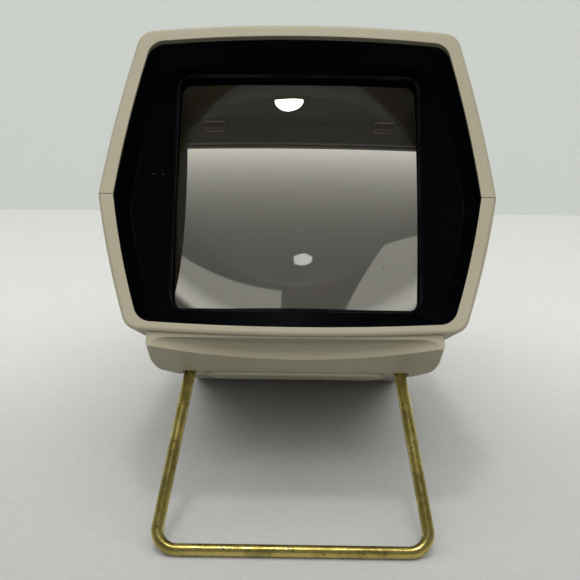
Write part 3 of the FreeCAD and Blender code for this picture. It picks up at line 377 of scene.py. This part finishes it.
def opal_sheet():
    """White opal sheet with a painted glow standing in for light from above through the slide slot:
    brightest at the top, fading downward.
    """
    finish = Finish("opal_sheet")
    clean = finish.mix(finish.noise(40.0), tone(226, 222, 208), tone(216, 211, 196))
    sparse = finish.steps(finish.noise(70.0), 0.55, 0.62)
    grit = finish.times(finish.specks(300.0, 0.06, 0.03), sparse)
    hairs = finish.steps(finish.noise(900.0, 1.0, (1.0, 1.0, 0.06)), 0.80, 0.84)
    marks = finish.maths("MAXIMUM", grit, hairs)
    finish.set("Base Color", finish.mix(marks, clean, tone(120, 112, 96)))
    place = finish.node("ShaderNodeSeparateXYZ", {0: finish.place()})
    across, height = place.outputs["X"], place.outputs["Z"]
    # Painted glow: emission that fades below the sheet's top, plus the painted crescents.
    depth = finish.maths("SUBTRACT", SHEET_TOP, height)
    fall = finish.maths("EXPONENT", finish.maths("DIVIDE", depth, -SHEET_FADE))
    glow = finish.maths("ADD", finish.times(fall, SHEET_PAINTED_GLOW), painted_crescents(finish, across, height))
    unmarked = finish.maths("SUBTRACT", 1.0, finish.times(marks, 0.4))
    finish.set("Emission Color", tone(250, 248, 236))
    finish.set("Emission Strength", finish.times(glow, unmarked))
    finish.raise_by(finish.noise(900.0, 2.0), 0.02 * MM, 0.3)
    return finish.material


def white_reflector():
    return moulded_plastic("white_reflector", tone(236, 234, 228), tone(222, 218, 206), 0.45)


def metal(name, colour, worn, roughness):
    """Bare metal whose shine and colour vary in blotches, with a fine grain."""
    finish = Finish(name, metallic=1.0)
    blotches = finish.steps(finish.noise(160.0, 5.0), 0.38, 0.66)
    finish.set("Base Color", finish.mix(blotches, colour + (1.0,), worn + (1.0,)))
    finish.rough(320.0, 4.0, roughness - 0.08, roughness + 0.14)
    finish.raise_by(finish.noise(1800.0), 0.02 * MM, 0.5)
    return finish.material


def brass_wire():
    """Plated wire worn in blotches, brown where the plating is dull."""
    finish = Finish("brass_wire", metallic=1.0)
    worn = finish.steps(finish.noise(150.0, 6.0), 0.40, 0.62)
    gold = finish.mix(worn, (0.60, 0.49, 0.15, 1.0), (0.38, 0.31, 0.09, 1.0))
    spots = finish.steps(finish.noise(900.0), 0.60, 0.70)
    finish.set("Base Color", finish.mix(spots, gold, (0.18, 0.15, 0.055, 1.0)))
    finish.rough(420.0, 5.0, 0.20, 0.38)
    finish.raise_by(finish.noise(700.0, 4.0), 0.06 * MM, 0.3)
    return finish.material


def glass_bulb():
    """Thin clear glass, faintly cloudy in patches."""
    finish = Finish("bulb_glass")
    tint = finish.mix(finish.noise(60.0), (1.0, 1.0, 1.0, 1.0), (0.93, 0.93, 0.90, 1.0))
    finish.set("Base Color", tint)
    finish.set("IOR", 1.5)
    finish.set("Transmission Weight", 1.0)
    finish.set("Roughness", finish.steps(finish.noise(150.0), 0.4, 0.8, 0.0, 0.08))
    return finish.material


def fibre_board():
    """Brown pressed board with faint fibres."""
    finish = Finish("board", roughness=0.7)
    fibres = finish.noise(260.0, 5.0, (1.0, 1.0, 6.0))
    streaks = finish.steps(fibres, 0.35, 0.7)
    finish.set("Base Color", finish.mix(streaks, tone(120, 84, 48), tone(92, 62, 34)))
    finish.raise_by(fibres, 0.05 * MM, 0.5)
    return finish.material


def cell_jacket():
    """Printed foil sleeve of a dry cell: dark in the middle, with a copper band at each end."""
    finish = Finish("cell_jacket", metallic=0.6)
    along = finish.node("ShaderNodeSeparateXYZ", {0: finish.place()}).outputs["X"]
    band = finish.steps(finish.maths("ABSOLUTE", along), 14.5 * MM, 14.8 * MM)
    shade = finish.mix(band, tone(38, 40, 46), tone(188, 120, 62))
    scuffs = finish.steps(finish.noise(300.0, 5.0, (0.2, 1.0, 1.0)), 0.62, 0.70)
    finish.set("Base Color", finish.mix(scuffs, shade, tone(150, 148, 140)))
    finish.rough(120.0, 3.0, 0.25, 0.42)
    finish.raise_by(finish.noise(60.0, 2.0), 0.1 * MM, 0.4)
    return finish.material


def insulation(name, colour):
    """Soft coloured covering of a hook-up wire."""
    return moulded_plastic(name, colour, dimmed(colour, 0.8), 0.4, grain=0.01 * MM)


def finishes():
    """The finish of each material slot in the record."""
    return {
        "beige_shell": beige_shell(),
        "black_liner": black_liner(),
        "clear_lens": clear_lens(),
        "dark_inner": dark_inner(),
        "opal_sheet": opal_sheet(),
        "white_reflector": white_reflector(),
        "bronze_spring": metal("bronze_spring", (0.42, 0.24, 0.12), (0.26, 0.15, 0.08), 0.36),
        "brass_wire": brass_wire(),
        "brass_part": metal("brass_part", (0.60, 0.45, 0.18), (0.42, 0.31, 0.13), 0.34),
        "steel_part": metal("steel_part", (0.50, 0.50, 0.49), (0.34, 0.33, 0.31), 0.38),
        "spring_steel": metal("spring_steel", (0.42, 0.42, 0.43), (0.28, 0.28, 0.28), 0.32),
        "bulb_glass": glass_bulb(),
        "tungsten": metal("tungsten", (0.18, 0.18, 0.19), (0.10, 0.10, 0.11), 0.45),
        "board": fibre_board(),
        "cell_jacket": cell_jacket(),
        "wire_red": insulation("wire_red", tone(150, 32, 26)),
        "wire_black": insulation("wire_black", tone(26, 26, 28)),
    }


def finish_nodes(by_slot):
    """Gives each CAD node the finish of the slot it came with."""
    for piece in NODES.values():
        for place, old in enumerate(piece.data.materials):
            piece.data.materials[place] = by_slot[old.name.split(".")[0]]


# ---- lens ----

def rounded_square(half, corner):
    """Points round a square with rounded corners, evenly along its sides and arcs."""
    points = []
    straight = half - corner
    for quarter in range(4):
        turn = Matrix.Rotation(quarter * math.pi / 2, 2)
        for step in range(SIDE_STEPS):
            share = step / SIDE_STEPS
            points.append(turn @ Vector((half, straight * (2 * share - 1))))
        for step in range(CORNER_STEPS):
            angle = step / CORNER_STEPS * math.pi / 2
            reach = Vector((math.cos(angle), math.sin(angle))) * corner
            points.append(turn @ (Vector((straight, straight)) + reach))
    return points


def cap_depth(x, z, side):
    """Depth of the lens surface; side is -1 for the surface towards the eye."""
    rise = math.sqrt(LENS_RADIUS ** 2 - x * x - z * z) - LENS_RADIUS
    return side * (LENS_THICKNESS / 2 + rise)


def cap_rings(edge, side):
    """Rings of points on one surface of the lens, from near its middle out to its edge."""
    rings = []
    for ring in range(1, LENS_RINGS + 1):
        scaled = [p * (ring / LENS_RINGS) for p in edge]
        rings.append([Vector((p.x, cap_depth(p.x, p.y, side), p.y)) for p in scaled])
    return rings


def lens_rings():
    """Rings of points from the front surface, round the flange, to the back surface."""
    edge = rounded_square(LENS_HALF, LENS_CORNER)
    flange = rounded_square(FLANGE_HALF, FLANGE_CORNER)
    band = []
    for depth, outline in (
        (FLANGE_FRONT, edge),
        (FLANGE_FRONT, flange),
        (FLANGE_BACK, flange),
        (FLANGE_BACK, edge),
    ):
        band.append([Vector((p.x, depth, p.y)) for p in outline])
    return cap_rings(edge, -1), band, cap_rings(edge, 1)[::-1]


def add_piece(name, points, faces, finish):
    """Object made from points in body axes."""
    mesh = bpy.data.meshes.new(name)
    mesh.from_pydata([BODY @ p for p in points], [], faces)
    mesh.materials.append(finish)
    mesh.update()
    piece = bpy.data.objects.new(name, mesh)
    bpy.context.scene.collection.objects.link(piece)
    return piece


def make_lens(finish):
    """The magnifier: both curved surfaces and the flange in one closed mesh."""
    front, band, back = lens_rings()
    rings = front + band + back
    count = len(rings[0])
    points = [p for ring in rings for p in ring]
    first = len(points)
    points.append(Vector((0.0, cap_depth(0, 0, -1), 0.0)))
    points.append(Vector((0.0, cap_depth(0, 0, 1), 0.0)))
    faces = []
    for step in range(count):
        following = (step + 1) % count
        faces.append((first, step, following))
        for ring in range(len(rings) - 1):
            a = ring * count
            b = a + count
            faces.append((a + step, b + step, b + following, a + following))
        last = (len(rings) - 1) * count
        faces.append((last + step, first + 1, last + following))
    piece = add_piece("magnifier", points, faces, finish)
    set_lens_normals(piece.data, len(front) * count, (len(front) + len(band)) * count, first)
    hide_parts("lens")
    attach(piece, "housing")


def set_lens_normals(mesh, front_end, back_start, middles):
    """True sphere directions on both surfaces of the lens, so that it refracts smoothly.
    Vertices come as the front surface, the flange, the back surface and the two middles."""
    sphere = Vector((0, LENS_RADIUS - LENS_THICKNESS / 2, 0))
    inverse = BODY.inverted()
    turn = BODY.to_3x3()
    directions = []
    for face in mesh.polygons:
        face.use_smooth = True
        on_front = all(v < front_end or v == middles for v in face.vertices)
        on_back = all(back_start <= v < middles or v == middles + 1 for v in face.vertices)
        for corner in face.vertices:
            local = inverse @ mesh.vertices[corner].co
            if on_front:
                directions.append((turn @ (local - sphere)).normalized())
            elif on_back:
                directions.append((turn @ (local + sphere)).normalized())
            else:
                directions.append(face.normal.copy())
    mesh.normals_split_custom_set(directions)


# ---- springs under the slide carrier ----

def coil_line(radius, low, high):
    """Points along a compression spring's wire, its first and last turns lying closed."""
    closed_rise = SPRING_CLOSED * SPRING_WIRE
    open_turns = SPRING_TURNS - 2
    points = []
    for step in range(SPRING_TURNS * SPRING_STEPS + 1):
        turn = step / SPRING_STEPS
        free = min(max(turn - 1, 0), open_turns) / open_turns
        closed = min(turn, 1) + max(turn - SPRING_TURNS + 1, 0)
        rise = closed * closed_rise + free * (high - low - 2 * closed_rise)
        angle = 2 * math.pi * turn
        points.append(Vector((radius * math.cos(angle), radius * math.sin(angle), low + rise)))
    return points


def tube(line, radius):
    """Points and faces of a round tube along a line that circles the Z axis."""
    points = []
    for middle in line:
        out = Vector((middle.x, middle.y, 0)).normalized()
        for side in range(WIRE_SIDES):
            angle = 2 * math.pi * side / WIRE_SIDES
            reach = out * math.cos(angle) + Vector((0, 0, math.sin(angle)))
            points.append(middle + reach * radius)
    faces = []
    for ring in range(len(line) - 1):
        for side in range(WIRE_SIDES):
            a = ring * WIRE_SIDES + side
            b = ring * WIRE_SIDES + (side + 1) % WIRE_SIDES
            faces.append((a, a + WIRE_SIDES, b + WIRE_SIDES, b))
    last = (len(line) - 1) * WIRE_SIDES
    faces.append(tuple(range(WIRE_SIDES)))
    faces.append(tuple(reversed(range(last, last + WIRE_SIDES))))
    return points, faces


def body_box(node):
    """Lowest and highest corner of a CAD node in body axes."""
    piece = NODES[node]
    corners = [BODY.inverted() @ (piece.matrix_world @ v.co) for v in piece.data.vertices]
    low = Vector([min(c[i] for c in corners) for i in range(3)])
    high = Vector([max(c[i] for c in corners) for i in range(3)])
    return low, high


def make_carrier_coil(side, finish):
    """Coil spring under the slide carrier, which shortens when the carrier is pressed down; here it
    is drawn at rest in place of the CAD spring.
    """
    node = "carrier_spring_" + side
    low, high = body_box(node)
    middle = Vector(((low.x + high.x) / 2, (low.y + high.y) / 2, 0))
    radius = (high.x - low.x) / 2 - SPRING_WIRE
    line = coil_line(radius, low.z + SPRING_WIRE, high.z - SPRING_WIRE)
    points, faces = tube(line, SPRING_WIRE)
    piece = add_piece("carrier_coil_" + side, [middle + p for p in points], faces, finish)
    for face in piece.data.polygons:
        face.use_smooth = len(face.vertices) == 4
    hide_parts(node)
    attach(piece, "housing")
    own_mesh(piece)


# ---- surroundings ----

def stage_sheet(name, corners, finish):
    mesh = bpy.data.meshes.new(name)
    mesh.from_pydata(corners, [], [(0, 1, 2, 3)])
    mesh.materials.append(finish)
    piece = bpy.data.objects.new(name, mesh)
    bpy.context.scene.collection.objects.link(piece)


def table_top():
    """Pale table top with painted shade, a little darker towards the eye."""
    finish = Finish("table_top", roughness=0.6)
    colour = finish.mix(finish.noise(14.0, 5.0), tone(195, 195, 193), tone(202, 202, 200))
    flecks = finish.times(finish.steps(finish.noise(500.0), 0.35, 0.6), 0.25)
    grained = finish.mix(flecks, colour, tone(186, 187, 182))
    spot = finish.node("ShaderNodeNewGeometry").outputs["Position"]
    depth = finish.node("ShaderNodeSeparateXYZ", {0: spot}).outputs["Y"]
    # Painted shade: the top is mixed towards black nearer the eye, standing in for less light
    # there.
    near = finish.steps(depth, 0.12, -0.14, 0.0, 0.42)
    finish.set("Base Color", finish.mix(near, grained, BLACK))
    finish.raise_by(finish.noise(420.0), 0.4 * MM, 0.25)
    return finish.material


def wall_paint():
    finish = Finish("wall_paint", roughness=0.8)
    tint = finish.mix(finish.noise(6.0), tone(197, 201, 198), tone(200, 204, 201))
    finish.set("Base Color", tint)
    finish.raise_by(finish.noise(300.0), 0.2 * MM, 0.15)
    return finish.material


def make_stage():
    """Table top that ends at an upright wall behind the viewer."""
    left, right, near = -STAGE_HALF, STAGE_HALF, -STAGE_HALF
    table = [(left, near, 0), (right, near, 0), (right, WALL_Y, 0), (left, WALL_Y, 0)]
    wall = [(left, WALL_Y, 0), (right, WALL_Y, 0)]
    wall += [(right, WALL_Y, WALL_TOP), (left, WALL_Y, WALL_TOP)]
    stage_sheet("table", table, table_top())
    stage_sheet("wall", wall, wall_paint())


def area_light(name, place, target, size, power, colour):
    """Square lamp of a given width that faces a point."""
    data = bpy.data.lights.new(name, "AREA")
    data.size = size
    data.energy = power
    data.color = colour
    light = bpy.data.objects.new(name, data)
    light.location = place
    ahead = Vector(target) - Vector(place)
    light.rotation_euler = ahead.to_track_quat("-Z", "Y").to_euler()
    bpy.context.scene.collection.objects.link(light)
    return light


def make_lights():
    """A round ceiling lamp that the lens mirrors, and two soft lights that it doesn't."""
    lens = BODY.translation
    place = lens + Vector(LAMP_DIRECTION).normalized() * LAMP_DISTANCE
    lamp = area_light("ceiling_lamp", place, lens, 2 * LAMP_RADIUS, LAMP_POWER, WARM_WHITE)
    lamp.data.shape = "DISK"
    width, depth = CEILING_SIZE
    above = area_light("ceiling_glow", CEILING_PLACE, CEILING_TARGET, width, CEILING_POWER, WHITE)
    above.data.shape = "RECTANGLE"
    above.data.size_y = depth
    front = area_light("front_glow", FRONT_PLACE, FRONT_TARGET, FRONT_SIZE, FRONT_POWER, WARM_WHITE)
    for soft in (above, front):
        soft.visible_glossy = False
        soft.visible_transmission = False


def make_room():
    """Even light from all round, dimmer where a shiny surface mirrors it."""
    world = bpy.data.worlds.new("room")
    world.use_nodes = True
    tree = world.node_tree
    background = tree.nodes["Background"]
    background.inputs["Color"].default_value = ROOM_COLOUR
    path = tree.nodes.new("ShaderNodeLightPath")
    strength = tree.nodes.new("ShaderNodeMapRange")
    strength.inputs["To Min"].default_value = ROOM_LIGHT
    strength.inputs["To Max"].default_value = ROOM_SHINE
    tree.links.new(path.outputs["Is Glossy Ray"], strength.inputs["Value"])
    tree.links.new(strength.outputs["Result"], background.inputs["Strength"])
    bpy.context.scene.world = world


def make_camera():
    elevation = math.radians(CAMERA_ELEVATION)
    yaw = math.radians(CAMERA_YAW)
    flat = math.cos(elevation)
    forward = Vector((-math.sin(yaw) * flat, math.cos(yaw) * flat, math.sin(elevation)))
    data = bpy.data.cameras.new("camera")
    data.lens = CAMERA_LENS_MM
    data.sensor_width = CAMERA_SENSOR_MM
    data.clip_start = CAMERA_NEAREST
    camera = bpy.data.objects.new("camera", data)
    upright = forward.to_track_quat("-Z", "Y").to_matrix()
    roll = Matrix.Rotation(math.radians(CAMERA_ROLL), 3, "Z")
    camera.matrix_world = Matrix.Translation(CAMERA_PLACE) @ (upright @ roll).to_4x4()
    bpy.context.scene.collection.objects.link(camera)
    bpy.context.scene.camera = camera


by_slot = finishes()
finish_nodes(by_slot)
make_lens(by_slot["clear_lens"])
for side in ("left", "right"):
    make_carrier_coil(side, by_slot["spring_steel"])
make_stage()
make_lights()
make_room()
make_camera()
bpy.context.scene.view_settings.view_transform = "Standard"

bpy.context.view_layer.update()
